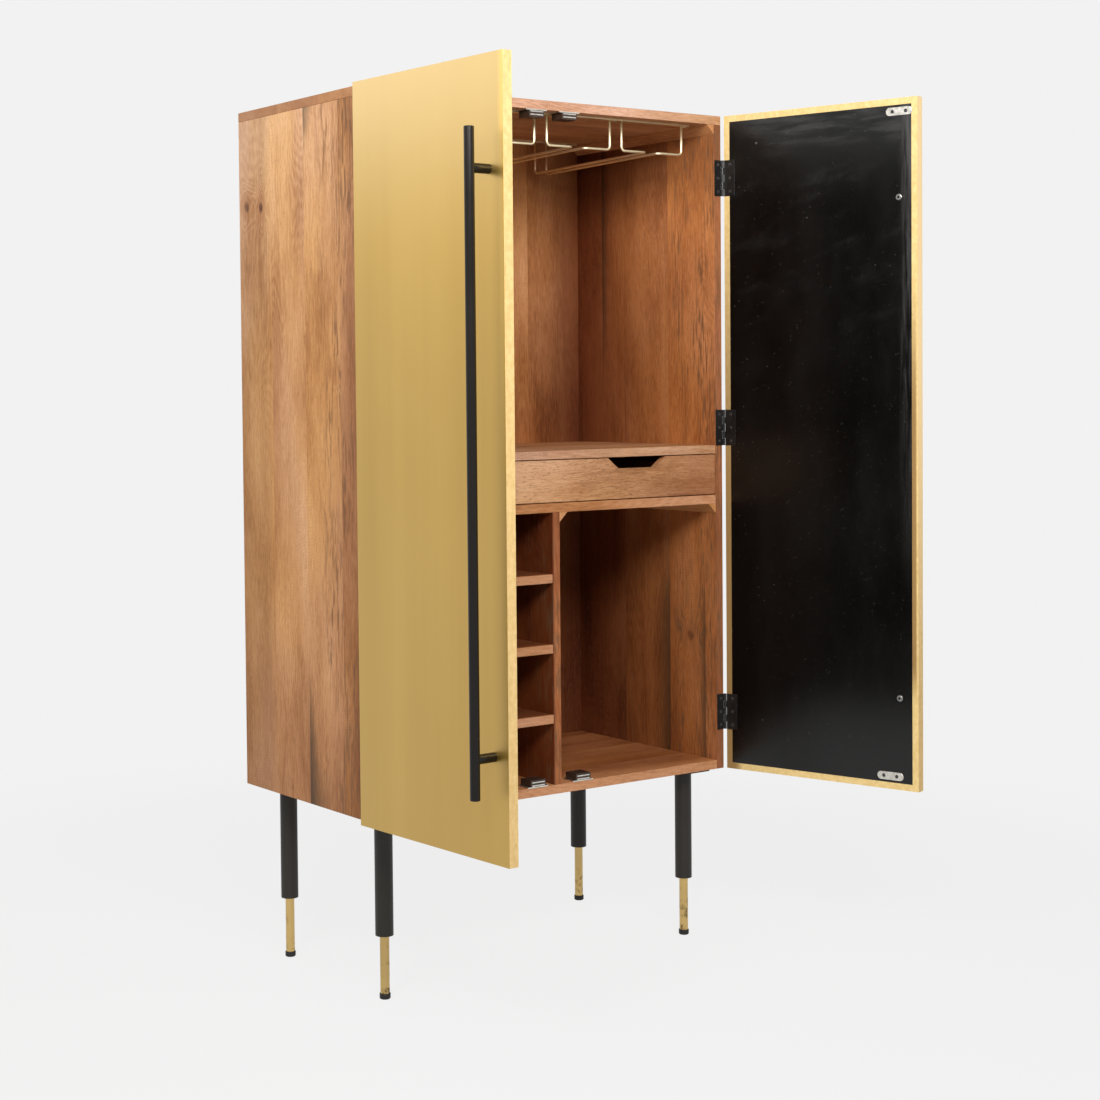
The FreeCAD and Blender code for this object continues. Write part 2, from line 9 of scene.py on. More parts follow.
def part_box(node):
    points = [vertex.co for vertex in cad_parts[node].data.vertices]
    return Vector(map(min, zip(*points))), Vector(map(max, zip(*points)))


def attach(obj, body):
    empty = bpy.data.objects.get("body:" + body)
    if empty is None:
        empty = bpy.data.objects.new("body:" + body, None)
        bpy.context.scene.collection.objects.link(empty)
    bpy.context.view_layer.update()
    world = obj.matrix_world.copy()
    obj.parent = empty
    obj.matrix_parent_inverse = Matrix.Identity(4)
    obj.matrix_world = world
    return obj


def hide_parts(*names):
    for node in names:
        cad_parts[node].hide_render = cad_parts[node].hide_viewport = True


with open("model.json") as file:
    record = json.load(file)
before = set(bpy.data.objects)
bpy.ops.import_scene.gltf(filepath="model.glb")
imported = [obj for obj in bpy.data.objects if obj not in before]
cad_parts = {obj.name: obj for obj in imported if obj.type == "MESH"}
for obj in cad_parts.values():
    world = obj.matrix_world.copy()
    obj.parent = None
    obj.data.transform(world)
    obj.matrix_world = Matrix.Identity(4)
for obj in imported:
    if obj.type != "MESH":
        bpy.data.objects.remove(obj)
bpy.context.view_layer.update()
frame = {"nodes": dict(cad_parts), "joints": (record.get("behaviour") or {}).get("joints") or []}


# Case: boards of oiled mango wood, glued up from planks of unequal tone, planed and sanded.
# The top lies over both sides; bottom, back, counter, deck, divider and shelves stand between them.
# Every arris is eased by about a millimetre.
class Field:
    """A value or vector in a shader. Arithmetic on it adds Math nodes; add() puts in any other node."""

    def __init__(self, socket):
        self.socket = socket
        self.tree = socket.id_data

    def add(self, kind, settings, inputs, output=0):
        """A new node: its settings first, then a number or a Field for each of its inputs."""
        node = self.tree.nodes.new("ShaderNode" + kind)
        for name, value in settings.items():
            if name == "stops":
                for place, colour in value[len(node.color_ramp.elements):]:
                    node.color_ramp.elements.new(place)
                for stop, (place, colour) in zip(node.color_ramp.elements, value):
                    stop.position = place
                    stop.color = (*colour, 1.0)
            else:
                setattr(node, name, value)
        for name, value in inputs.items():
            if isinstance(value, Field):
                self.tree.links.new(value.socket, node.inputs[name])
            else:
                node.inputs[name].default_value = value
        return Field(node.outputs[output])

    def math(self, operation, first, second=0.0):
        return self.add("Math", {"operation": operation}, {0: first, 1: second})

    def __add__(self, other):
        return self.math("ADD", self, other)

    def __radd__(self, other):
        return self.math("ADD", other, self)

    def __sub__(self, other):
        return self.math("SUBTRACT", self, other)

    def __rsub__(self, other):
        return self.math("SUBTRACT", other, self)

    def __mul__(self, other):
        return self.math("MULTIPLY", self, other)

    def __rmul__(self, other):
        return self.math("MULTIPLY", other, self)

    def __truediv__(self, other):
        return self.math("DIVIDE", self, other)

    def floor(self):
        return self.math("FLOOR", self)

    def sine(self):
        return self.math("SINE", self)

    def size(self):
        return self.math("ABSOLUTE", self)

    def most(self, other):
        return self.math("MAXIMUM", self, other)

    def least(self, other):
        return self.math("MINIMUM", self, other)

    def rise(self, low, high):
        """0 up to low, 1 from high on, and a smooth step between; low may be above high."""
        limits = {"Value": self, "From Min": low, "From Max": high}
        return self.add("MapRange", {"interpolation_type": "SMOOTHSTEP"}, limits)

    def axes(self):
        """The three coordinates of a vector."""
        parts = self.add("SeparateXYZ", {}, {"Vector": self}).socket.node.outputs
        return [Field(part) for part in parts]

    def joined(self, second, third):
        """A vector of this value and two more."""
        return self.add("CombineXYZ", {}, {0: self, 1: second, 2: third})

    def noise(self, scale, detail=3.0, rough=0.55):
        """Cloudy noise, about 0.3 to 0.7, of a position stretched by three scales per metre."""
        place = self.add("Mapping", {}, {"Vector": self, "Scale": scale})
        amounts = {"Vector": place, "Scale": 1.0, "Detail": detail, "Roughness": rough}
        return self.add("TexNoise", {}, amounts)

    def blend(self, first, second):
        """The first colour where this is 0, and the second where it is 1."""
        return self.add("Mix", {"data_type": "RGBA"}, {0: self, 6: first, 7: second}, 2)

    def tinted(self, colour):
        """A colour multiplied by this one."""
        kind = {"data_type": "RGBA", "blend_type": "MULTIPLY"}
        return self.add("Mix", kind, {0: 1.0, 6: colour, 7: self}, 2)


def finish(name, **constants):
    """A new material with its fixed numbers set: it, its shader, and the piece's Object coordinates."""
    material = bpy.data.materials.new(name)
    material.use_nodes = True
    shader = material.node_tree.nodes["Principled BSDF"]
    for socket, value in constants.items():
        shader.inputs[socket.replace("_", " ")].default_value = value
    where = material.node_tree.nodes.new("ShaderNodeTexCoord")
    return material, shader, Field(where.outputs["Object"])


def wire(shader, **fields):
    """Feed a shader's inputs from Fields; Bump takes a height field and its relief's depth in metres."""
    for socket, field in fields.items():
        if socket == "Bump":
            height, depth = field
            amounts = {"Height": height, "Distance": depth, "Strength": 1.0}
            socket, field = "Normal", height.add("Bump", {}, amounts)
        shader.id_data.links.new(field.socket, shader.inputs[socket.replace("_", " ")])


def dress(material, *nodes):
    """Give CAD nodes their finish."""
    for node in nodes:
        frame["nodes"][node].data.materials.clear()
        frame["nodes"][node].data.materials.append(material)


def ease(width, *nodes):
    """Round the arrises of CAD pieces.

    Modifiers weld the loose triangles, join them into whole faces, and bevel the sharp edges.
    """
    for node in nodes:
        weld = frame["nodes"][node].modifiers.new("weld", "WELD")
        weld.merge_threshold = 0.00001
        joined = frame["nodes"][node].modifiers.new("joined", "DECIMATE")
        joined.decimate_type = "DISSOLVE"
        joined.angle_limit = math.radians(1)
        bevel = frame["nodes"][node].modifiers.new("eased", "BEVEL")
        bevel.width = width
        bevel.segments = 2
        bevel.limit_method = "ANGLE"
        bevel.angle_limit = math.radians(40)
        bevel.harden_normals = True


def mango(name, along, across, plank, joint, red=0.0, fleck=0.3, figure=1.0, coarse=None,
          knots=(), stains=(), tints=(), inside=(9.0, 8.0), ends=9.0):
    """Wood whose grain runs along one axis, in planks set side by side across another.

    A plank's number picks its tone and moves its grain. Blotches, streaks, contour lines of a smooth hill
    and short fibres, all drawn out along the grain, add up to the tone; short dark dashes are the pores.
    Coarse gives two places across, between which longer dark dashes set in.
    A knot is its place across and along, its two half sizes, and how dark its core is. It is an ellipse
    that pushes the grain aside and heaps up the hill, so that lines ring it.
    A stain is a grey wedge with one sharp side: that side's place across, the wedge's width from there,
    and two places along, between which it grows.
    A tint multiplies the colour: an axis, two places on it between which the tint sets in, and its colour.
    Inside gives two places through the board, between which the room's side begins; red and the tints are
    for that side. Ends is how far from the middle the sawn ends lie.
    """
    white, red_oil = (1, 1, 1, 1), (0.86, 0.56, 0.36, 1)
    rosy, golden = (1.0, 0.99, 1.06, 1), (1.0, 0.95, 0.78, 1)
    stain_grey, pore_brown = (0.098, 0.064, 0.036, 1), (0.165, 0.078, 0.036, 1)
    halo_brown, core_brown = (0.330, 0.125, 0.045, 1), (0.085, 0.026, 0.014, 1)
    sawn_brown, saw_depth = (0.330, 0.155, 0.075, 1), 0.0004
    heartwood = [(0.05, (0.175, 0.064, 0.022)), (0.32, (0.385, 0.172, 0.066)),
                 (0.56, (0.545, 0.278, 0.122)), (0.90, (0.700, 0.405, 0.205))]

    # The letters a, b and c are places along, across and through the board.
    material, shader, place = finish(name, Specular_IOR_Level=0.20)
    parts = place.axes()
    a, b, c = parts[along], parts[across], parts[3 - along - across]
    room = c.rise(*inside)
    number = ((b - joint) / plank).floor()
    chance = number.add("TexWhiteNoise", {"noise_dimensions": "1D"}, {"W": number + 10.0 * joint})
    uneven = a.joined(b, c).noise((3.0, 8, 8), 2.0)

    bent = b + uneven * 0.020
    core = halo = mound = uneven * 0.0
    for knot_b, knot_a, wide, tall, dark in knots:
        off, up = (b - knot_b) / wide, (a - knot_a) / tall
        ragged = (a.joined(b, c).noise((60, 120, 120), 2.0) - 0.5) * 1.6
        far = off * off + up * up + ragged
        bent = bent + far.rise(14.0, 0.0) * off * (0.6 * wide)
        core = core.most(far.rise(1.1, 0.0) * dark)
        halo = halo.most(far.rise(8.0, 0.4))
        mound = mound.most(far.rise(20.0, 0.0))

    grain = (a + chance * 3.0).joined(bent + chance * 0.5, c + chance * 0.7)
    blotch = grain.noise((3.4, 10, 10), 3.0, 0.45)
    streaks = grain.noise((1.3, 38, 38), 4.0, 0.55)
    hill = grain.noise((1.6, 8, 8), 2.0, 0.35) + mound * 0.05
    rings = (hill * 330.0).sine() * (hill.rise(0.40, 0.60) * 0.05 + mound * 0.04)
    ripple = ((a + uneven * 0.08) * 1150.0 + b * 420.0).sine() * blotch.rise(0.48, 0.62) * 0.03
    fibres = grain.noise((38, 330, 330), 3.0, 0.62)
    pores = grain.noise((95, 560, 560), 2.0, 0.5).rise(0.56, 0.68)
    tone = 0.5 + ((blotch - 0.5) * 0.95 + (streaks - 0.5) * 0.34) * figure
    tone = tone + (fibres - 0.5) * 0.66 + rings + ripple + (chance - 0.5) * 0.18

    colour = tone.add("ValToRGB", {"stops": heartwood}, {"Fac": tone})
    colour = grain.noise((1.9, 6, 6), 2.0).rise(0.34, 0.66).blend(rosy, golden).tinted(colour)
    for side, width, start, end in stains:
        reach = (b - side) / width
        grown = a.rise(start, end)
        spread = grown + (streaks - 0.5) * 0.5
        wedge = (reach + (fibres - 0.5) * 0.4).rise(spread + 0.02, -0.25) * reach.rise(-0.03, 0.0)
        colour = (wedge * grown * 0.95).blend(colour, stain_grey)
    for axis, start, end, tint in tints:
        share = room * parts[axis].rise(start, end)
        colour = share.blend(white, (*tint, 1)).tinted(colour)
    if red:
        colour = (room * red).blend(white, red_oil).tinted(colour)
    dark = pores * fleck
    if coarse:
        patches = grain.noise((5, 20, 20), 2.0).rise(0.34, 0.60)
        dashes = grain.noise((19, 210, 210), 2.0, 0.6).rise(0.46, 0.62) * patches
        dark = dark.most(dashes * b.rise(*coarse) * 0.84)
    colour = dark.blend(colour, pore_brown)
    colour = (halo * 0.40).blend(colour, halo_brown)
    colour = core.blend(colour, core_brown)
    sawn = a.size().rise(ends - saw_depth, ends)
    colour = (sawn * (0.25 + fibres * 0.4)).blend(colour, sawn_brown)
    wire(shader, Base_Color=colour, Roughness=0.56 + fibres * 0.18 + pores * 0.1,
         Bump=(fibres * 0.5 - pores, 0.00008))
    return material


X, Y, Z = 0, 1, 2
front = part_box("left_side")[0][1]
front_edge = (Y, front + 0.0010, front + 0.0002)
# The first two tints are painted shade: in corners and cells, and the open left door's shadow on the left
# side. The third makes a plank paler.
painted_shade, painted_door_shade, front_plank_paler = (0.34, 0.21, 0.15), (0.72, 0.64, 0.60), (1.14, 1.10, 1.02)
left_joint, right_joint, board_arris = -0.019, -0.080, 0.0009
# Left side: painted shade of the open left door towards the front edge, and a painted highlight over its
# upper part. It is also darker towards the bottom.
left_wood = mango(
    "mango_left_side", along=Z, across=Y, plank=0.118, joint=left_joint, figure=1.05,
    coarse=(-0.050, -0.105),
    knots=[(0.1868, 1.400, 0.0120, 0.012, 0.8), (0.1342, 1.396, 0.0080, 0.013, 0.9),
           (-0.028, 1.141, 0.0040, 0.020, 0.1), (-0.115, 1.094, 0.0070, 0.011, 0.2),
           (-0.068, 1.257, 0.0030, 0.008, 0.2), (0.0448, 0.345, 0.0018, 0.008, 0.9)],
    stains=[(left_joint, -0.036, 1.44, 1.558), (left_joint, -0.030, 0.66, 0.42),
            (left_joint, -0.10, 0.54, 0.30)],
    tints=[(Y, -0.07, -0.20, painted_door_shade), (Z, 0.62, 0.32, (0.80, 0.74, 0.70)),
           (Y, 0.09, 0.13, (0.84, 0.85, 0.89)), (Z, 1.05, 1.50, (1.26, 1.40, 1.64))])
# Right wall: painted shade towards the back corner, a painted shadow of the top and the rack along its
# top, and painted shade under the deck. Its front edge is darker, and it is paler in front of the plank
# joint.
right_wood = mango(
    "mango_right_side", along=Z, across=Y, plank=0.136, joint=right_joint, red=0.62, fleck=0.45,
    figure=1.2, coarse=(-0.060, -0.120), inside=(0.4026, 0.4018),
    knots=[(-0.147, 1.469, 0.0050, 0.014, 0.3), (-0.141, 0.575, 0.0110, 0.014, 0.6),
           (-0.035, 1.394, 0.0090, 0.016, 0.0)],
    stains=[(0.124, -0.024, 1.00, 1.25), (right_joint, 0.060, 0.84, 0.60), (-0.184, 0.026, 0.78, 0.58)],
    tints=[(Y, -0.10, 0.204, painted_shade), (*front_edge, (0.60, 0.56, 0.70)),
           (Y, right_joint + 0.001, right_joint - 0.001, front_plank_paler),
           (Z, 1.36, 1.52, (0.62, 0.60, 0.60)), (Z, 0.86, 0.76, (0.78, 0.72, 0.68))])
# Back: painted shade towards the right corner and under the deck. It is also darker and redder towards the
# counter.
back_wood = mango(
    "mango_back", along=Z, across=X, plank=0.131, joint=0.386, red=0.3, figure=1.35, coarse=(0.05, -0.05),
    inside=(0.209, 0.206), knots=[(-0.11, 1.21, 0.006, 0.011, 0.8)],
    tints=[(X, 0.25, 0.39, painted_shade), (Z, 1.12, 0.96, (0.74, 0.62, 0.54)),
           (Z, 0.90, 0.70, (0.72, 0.66, 0.62))])
level_wood = mango(
    "mango_level", along=X, across=Y, plank=0.144, joint=front, ends=0.4029,
    tints=[(*front_edge, (1.06, 1.14, 1.40)), (Z, 0.2, 0.3, (1.00, 1.03, 1.18))])
# Divider: painted shade on its face inside the cells.
divider_wood = mango(
    "mango_divider", along=Z, across=Y, plank=0.14, joint=-0.1, red=0.9, figure=1.5, coarse=(-0.1, -0.2),
    tints=[(X, -0.004, -0.0083, painted_shade), (*front_edge, (0.92, 0.98, 1.40))])
# Deck and bottom: painted shade deeper in the case, growing from the front edge back.
shelf_wood = mango(
    "mango_shelf", along=X, across=Y, plank=0.144, joint=-0.12, red=0.6, figure=1.3,
    tints=[(Y, front + 0.002, front + 0.086, (0.70, 0.62, 0.56)), (*front_edge, (1.02, 1.14, 1.40))])
# Bottle shelves: painted shade inside the cells, behind their first centimetre.
cell_wood = mango(
    "mango_cell", along=X, across=Y, plank=0.144, joint=-0.12, red=0.8, figure=1.3,
    tints=[(Y, front + 0.0008, front + 0.011, (0.34, 0.26, 0.22)), (*front_edge, (0.98, 1.22, 1.80))])
for wood, boards in (
        (left_wood, ["left_side"]),
        (right_wood, ["right_side"]),
        (back_wood, ["back_panel"]),
        (divider_wood, ["divider"]),
        (level_wood, ["top_panel", "counter_shelf"]),
        (shelf_wood, ["bottom_panel", "drawer_deck"]),
        (cell_wood, ["bottle_shelf_low", "bottle_shelf_middle", "bottle_shelf_high"])):
    dress(wood, *boards)
    ease(board_arris, *boards)

# Cleats: triangular glue blocks of the same wood, in the corners under the top and under the deck.
# Each is a batten sawn along its diagonal and glued on two faces.
cleat_wood = mango("mango_cleat", along=Y, across=Z, plank=0.06, joint=0.02, red=0.3)
cleat_arris = 0.0006
cleats = ("top_cleat_left", "top_cleat_right", "deck_cleat_divider", "deck_cleat_right")
dress(cleat_wood, *cleats)
ease(cleat_arris, *cleats)

# Drawer: a front of flecked wood with two finger notches, and a box of plain sawn boards behind it.
# The front is planed and oiled; the box is left as sawn and glued at its corners.
front_wood = mango(
    "mango_drawer_front", along=X, across=Z, plank=0.2, joint=0.80, fleck=0.6, figure=1.2,
    tints=[(X, 0.17, 0.38, (0.68, 0.54, 0.48)), (Z, 0.2, 0.3, (1.04, 1.08, 1.18))])
box_wood = mango("mango_drawer_box", along=X, across=Z, plank=0.2, joint=0.80, fleck=0.5)
drawer_arris = 0.0012
dress(front_wood, "drawer_front")
dress(box_wood, "drawer_bottom", "drawer_left_side", "drawer_right_side", "drawer_back")
ease(drawer_arris, "drawer_front")


# Stem rack: brass wires bent cold and welded to two strips, which are screwed up under the top.
# The wires are polished; each pair leaves a slot for the stems of the glasses.
def brass(name, lines, colour, rough, scuffed=0.0):
    """Brass rubbed one way: fine lines across the rubbing, slow clouds, and dark scuffs near the floor."""
    material, shader, place = finish(name, Metallic=1.0)
    shade, scuff_brown = tuple(0.80 * v for v in colour), (0.085, 0.050, 0.022, 1)
    drawn = place.noise(lines, 3.0, 0.7)
    clouds = place.noise((9, 9, 7), 3.0)
    tone = clouds.rise(0.30, 0.70).blend((*shade, 1), (*colour, 1))
    rubbed = place.noise((60, 60, 45), 4.0, 0.7).rise(0.50, 0.66) * place.axes()[2].rise(0.12, 0.01)
    tone = (rubbed * scuffed).blend(tone, scuff_brown)
    wire(shader, Base_Color=tone, Roughness=rough + drawn * 0.16 + rubbed * (0.3 * scuffed),
         Bump=(drawn, 0.00001))
    return material


def tube(corners, bend, radius, sides=14, steps=7):
    """A round wire along corner points, each corner rounded by an arc.

    An arc starts bend times the tangent of half the turn before its corner. A point on it is the arc's
    centre plus the arc's two radii, weighed by sines of the angle left and of the angle done.
    A ring of points stands across each point of the line.
    """
    corners = np.asarray(corners, float)
    back = corners[:-2] - corners[1:-1]
    ahead = corners[2:] - corners[1:-1]
    back /= np.linalg.norm(back, axis=1, keepdims=True)
    ahead /= np.linalg.norm(ahead, axis=1, keepdims=True)
    turn = np.pi - np.arccos(np.sum(back * ahead, axis=1))
    cut = (bend * np.tan(turn / 2))[:, None]
    middle = (back + ahead) / np.linalg.norm(back + ahead, axis=1, keepdims=True)
    centre = corners[1:-1] + middle * (bend / np.cos(turn / 2))[:, None]
    first, last = corners[1:-1] + back * cut - centre, corners[1:-1] + ahead * cut - centre
    share = np.linspace(0, 1, steps)[None, :, None]
    angle = turn[:, None, None]
    arcs = first[:, None] * np.sin((1 - share) * angle) + last[:, None] * np.sin(share * angle)
    arcs = centre[:, None] + arcs / np.sin(angle)
    line = np.vstack([corners[:1], arcs.reshape(-1, 3), corners[-1:]])
    along = np.gradient(line, axis=0)
    along /= np.linalg.norm(along, axis=1, keepdims=True)
    side = np.cross(along, np.ones(3))
    side /= np.linalg.norm(side, axis=1, keepdims=True)
    other = np.cross(along, side)
    turns = np.linspace(0, 2 * np.pi, sides, endpoint=False)[None, :, None]
    ring = side[:, None] * np.cos(turns) + other[:, None] * np.sin(turns)
    return (line[:, None] + radius * ring).reshape(len(line), sides, 3)


def heads(places, facing, radius, proud=0.36, sides=16):
    """Screw heads, one grid each: rings round the facing direction trace a low dome with a dimple in it.

    Proud is the dome's height over its radius; a countersunk head is nearly flush.
    """
    aslant = (0.31, 0.52, 0.80)
    facing = np.asarray(facing, float)
    across = np.cross(facing, aslant)
    across /= np.linalg.norm(across)
    other = np.cross(facing, across)
    wide = radius * np.array([1.0, 1.0, 0.90, 0.46, 0.34, 0.10])[:, None, None]
    rises = np.array([0.3, 0.75, 1.0, 0.45, 0.4]) * proud
    tall = radius * np.concatenate([[-0.10], rises])[:, None, None]
    turns = np.linspace(0, 2 * np.pi, sides, endpoint=False)[None, :, None]
    dome = wide * (across * np.cos(turns) + other * np.sin(turns)) + tall * facing
    return [np.asarray(place, float) + dome for place in places]


def piece(name, grids, material, body):
    """One object from grids of points: each grid closes round its columns, and its two ends are capped."""
    points, faces, start = [], [], 0
    for grid in grids:
        rows, columns = grid.shape[:2]
        number = start + np.arange(rows * columns).reshape(rows, columns)
        turned = np.roll(number, -1, axis=1)
        quads = np.stack([number[:-1], turned[:-1], turned[1:], number[1:]], axis=-1).reshape(-1, 4)
        points.append(grid.reshape(-1, 3))
        faces += quads.tolist() + [number[0][::-1].tolist(), number[-1].tolist()]
        start += rows * columns
    mesh = bpy.data.meshes.new(name)
    mesh.from_pydata(np.vstack(points).tolist(), [], faces)
    mesh.shade_smooth()
    mesh.materials.append(material)
    thing = bpy.data.objects.new(name, mesh)
    bpy.context.scene.collection.objects.link(thing)
    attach(thing, body)
    return thing


wire_brass = brass("rack_brass", lines=(30, 30, 30), colour=(0.98, 0.86, 0.58), rough=0.38)
wire_radius, wire_bend, wire_fall, slot_half = 0.0025, 0.008, 0.008, 0.01425
for bay in (1, 2, 3, 4):
    low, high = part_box(f"rack_wires_{bay}")
    middle = (low[0] + high[0]) / 2
    reach = (high[0] - low[0]) / 2 - wire_radius
    fore, aft = low[1] + wire_radius, high[1] - wire_radius
    level = low[2] + wire_radius + wire_fall
    pair = []
    for hand in (-1, 1):
        outer, inner = middle + hand * reach, middle + hand * slot_half
        route = [(outer, fore, high[2]), (outer, fore, level), (inner, fore, level)]
        route += [(inner, aft, level - wire_fall), (inner, aft, high[2])]
        pair.append(tube(route, wire_bend, wire_radius))
    wires = piece(f"stem_wires_{bay}", pair, wire_brass, "case")
    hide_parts(f"rack_wires_{bay}")
dress(wire_brass, "rack_strip_front", "rack_strip_rear")
strip_screws, strip_inset, strip_screw = 5, 0.006, 0.0034
strip_places = []
for strip in ("rack_strip_front", "rack_strip_rear"):
    low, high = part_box(strip)
    places = np.linspace(low[0] + strip_inset, high[0] - strip_inset, strip_screws)
    strip_places += [(place, (low[1] + high[1]) / 2, low[2]) for place in places]
piece("rack_screws", heads(strip_places, (0, 0, -1), strip_screw), wire_brass, "case")


# Legs: black lacquered iron tubes on plates screwed to the bottom, with brass rods let into their ends.
# Black plastic feet turn on stems in the rods.
def lacquer(name, colour, rough, pebbles, gloss, dust=1.5):
    """Dark lacquer or moulded plastic: a fine pebble, and slow clouds where it is rubbed paler."""
    material, shader, place = finish(name, Specular_IOR_Level=gloss)
    paler = tuple(dust * v for v in colour)
    clouds = place.noise((9, 9, 5), 3.0).rise(0.35, 0.75)
    pebble = place.noise(pebbles, 2.0)
    tone = clouds.blend((*colour, 1), (*paler, 1))
    wire(shader, Base_Color=tone, Roughness=rough + clouds * 0.08 + pebble * 0.08, Bump=(pebble, 0.00002))
    return material


leg_black = lacquer("leg_lacquer", (0.016, 0.013, 0.010), rough=0.38, pebbles=(700, 700, 700), gloss=0.30)
rod_brass = brass("rod_brass", lines=(900, 900, 30), colour=(0.62, 0.43, 0.17), rough=0.26, scuffed=0.9)
foot_black = lacquer("foot_plastic", (0.012, 0.011, 0.010), rough=0.45, pebbles=(500, 500, 500), gloss=0.3)
screw_black = lacquer("screw_black", (0.024, 0.022, 0.020), rough=0.20, pebbles=(900, 900, 900), gloss=0.8)
foot_arris, plate_hole, plate_thick, plate_screw = 0.0028, 0.027, 0.005, 0.0042
plate_places = []
for corner in ("front_left", "front_right", "rear_left", "rear_right"):
    dress(leg_black, f"{corner}_leg")
    dress(rod_brass, f"{corner}_rod")
    dress(foot_black, f"{corner}_glide")
    ease(foot_arris, f"{corner}_glide")
    low, high = np.array(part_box(f"{corner}_leg"))
    middle = (low + high) / 2
    plate_places += [(middle[0] + i * plate_hole, middle[1] + j * plate_hole, high[2] - plate_thick)
                     for i in (-1, 1) for j in (-1, 1)]
piece("leg_plate_screws", heads(plate_places, (0, 0, -1), plate_screw), screw_black, "case")


# Hinges: black butt hinges, three to a door, with three countersunk screws in each leaf.
# They lie flat on the case's front edge and on the door's inner face.
def door_lines(side):
    """A door's hinge point, the way along it from the hinge, and the way out through its brass face.

    At rest the door is open by its joint's lower limit; sines and cosines of that angle give both ways.
    """
    joint = [item for item in frame["joints"] if item["name"] == f"{side}_door_hinge"][0]
    hand, opened = (-1 if side == "left" else 1), math.radians(-joint["range_deg"][0])
    along = np.array([-hand * math.cos(opened), -math.sin(opened), 0.0])
    out = np.array([hand * math.sin(opened), -math.cos(opened), 0.0])
    return np.array(joint["pos_m"]) * (1, 1, 0), along, out


hinge_black = lacquer("hinge_lacquer", (0.0060, 0.0056, 0.0052), rough=0.20, pebbles=(900, 900, 60),
                      gloss=0.45, dust=2.6)
hinge_levels, screw_rise = (0.435, 0.9815, 1.457), 0.0255
leaf_arris, leaf_face, leaf_screw, flush = 0.0003, 0.0004, 0.0031, 0.07
case_screw_in, door_screw_in = 0.010, 0.0155
up, forward = np.array([0, 0, 1.0]), np.array([0, -1.0, 0])
for side in ("left", "right"):
    dress(hinge_black, f"{side}_case_leaves", f"{side}_door_leaves")
    ease(leaf_arris, f"{side}_case_leaves", f"{side}_door_leaves")
    hinge, along, out = door_lines(side)
    inward = np.array([-np.sign(hinge[0]), 0, 0])
    levels = [level + step * screw_rise for level in hinge_levels for step in (-1, 0, 1)]
    spots = [hinge + inward * case_screw_in - forward * leaf_face + up * level for level in levels]
    screws = heads(spots, forward, leaf_screw, flush)
    piece(f"{side}_case_leaf_screws", screws, screw_black, "case")
    spots = [hinge + along * door_screw_in + out * leaf_face + up * level for level in levels]
    screws = heads(spots, -out, leaf_screw, flush)
    piece(f"{side}_door_leaf_screws", screws, screw_black, f"{side}_door")


# Doors: a black stained board in a sheet of satin brass, brushed upright and folded over the edges, with a
# painted sheen on the face at its top and beside its free edge.
# Folded edges and lips are dented, tarnished in places, and rubbed bright, most so on the right door. By
# the hinge the lips are darkened by painted shade.
# The board inside is waxed. Its pale smears towards the top and its wipes along the free edge and the top
# are partly real marks and partly a painted sheen.
def on_door(place, side):
    """Three values at each point: its way along the door from the hinge, out through the door, and up."""
    hinge, along, out = door_lines(side)
    x, y, z = place.axes()
    x, y = x - float(hinge[0]), y - float(hinge[1])
    return x * float(along[0]) + y * float(along[1]), x * float(out[0]) + y * float(out[1]), z


face_out, lip_out, free_edge, sheet_arris = 0.020, 0.002, 0.404, 0.0007
hole_along, hole_level, hole_radius = 0.0734, 1.5185, 0.0022
satin_deep, satin_light = (0.490, 0.290, 0.036, 1), (0.580, 0.366, 0.064, 1)
painted_top_sheen, painted_free_sheen = (0.590, 0.425, 0.170, 1), (0.78, 0.50, 0.100, 1)
edge_deep, edge_light = (0.66, 0.46, 0.19, 1), (0.76, 0.57, 0.28, 1)
lip_deep, lip_light = (0.68, 0.48, 0.18, 1), (0.80, 0.60, 0.27, 1)
bare_brass, tarnish_and_shade, speck_brown = (1.00, 0.78, 0.44, 1), (0.27, 0.145, 0.040, 1), (0.40, 0.25, 0.09, 1)
stain_black, stain_worn = (0.0018, 0.0017, 0.0015, 1), (0.0050, 0.0047, 0.0041, 1)
smear_and_sheen, wipe_and_sheen = (0.016, 0.016, 0.0155, 1), (0.062, 0.061, 0.059, 1)
dust_grey = (0.16, 0.15, 0.13, 1)
